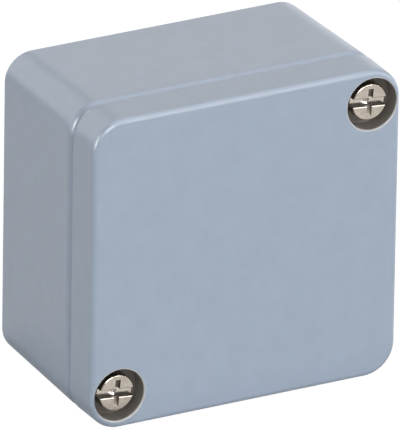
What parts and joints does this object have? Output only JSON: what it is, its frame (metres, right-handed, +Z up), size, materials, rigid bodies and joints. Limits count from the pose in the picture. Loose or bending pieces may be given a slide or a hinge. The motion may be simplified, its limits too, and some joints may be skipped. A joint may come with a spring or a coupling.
{
  "type": "die cast aluminium box",
  "caption": "Small die cast aluminium enclosure with a gasketed lid on captive corner screws, wall fixing holes under the lid and board pillars inside.",
  "frame": {"origin": "centre of the underside of the standing box: middle of its width and depth, at the level it stands on", "axes": "+X along the width, to the right seen from the front; +Y from the lid towards the back face; +Z up"},
  "size_m": [0.062, 0.0366, 0.0604],
  "materials": {
    "powder_coat": "grey-blue powder coat over die cast aluminium",
    "screw_metal": "bright nickel plated",
    "gasket_rubber": "matt",
    "retainer_plastic": "natural nylon",
    "washer_brass": "plain stamped",
    "earth_steel": "zinc plated"
  },
  "bodies": {
    "base": {"base": "powder_coat", "base_earth_screw": "earth_steel", "base_earth_cup_washer": "washer_brass", "base_earth_lock_washer": "earth_steel"},
    "lid": {"lid": "powder_coat", "lid_gasket": "gasket_rubber", "lid_earth_screw": "earth_steel", "lid_earth_cup_washer": "washer_brass", "lid_earth_lock_washer": "earth_steel"},
    "retainer_upper_right": {"screw_retainer_upper_right": "retainer_plastic"},
    "screw_upper_right": {"lid_screw_upper_right": "screw_metal"},
    "retainer_lower_left": {"screw_retainer_lower_left": "retainer_plastic"},
    "screw_lower_left": {"lid_screw_lower_left": "screw_metal"}
  },
  "joints": [
    {"name": "lid_lift", "type": "slide", "parent": "base", "child": "lid", "axis": [0, -1, 0], "range_m": [0, 0.06]},
    {"name": "upper_right_screw_travel", "type": "slide", "parent": "lid", "child": "retainer_upper_right", "axis": [0, -1, 0], "range_m": [0, 0.006]},
    {"name": "upper_right_screw_turn", "type": "hinge", "parent": "retainer_upper_right", "child": "screw_upper_right", "pos_m": [0.02515, -0.0147, 0.0538], "axis": [0, -1, 0], "range_deg": [0, 3087]},
    {"name": "lower_left_screw_travel", "type": "slide", "parent": "lid", "child": "retainer_lower_left", "axis": [0, -1, 0], "range_m": [0, 0.006]},
    {"name": "lower_left_screw_turn", "type": "hinge", "parent": "retainer_lower_left", "child": "screw_lower_left", "pos_m": [-0.02515, -0.0147, 0.0066], "axis": [0, -1, 0], "range_deg": [0, 3087]}
  ],
  "couplings": [
    {"joint": "upper_right_screw_turn", "follows": "upper_right_screw_travel", "rad_per_m": 8976},
    {"joint": "lower_left_screw_turn", "follows": "lower_left_screw_travel", "rad_per_m": 8976}
  ]
}
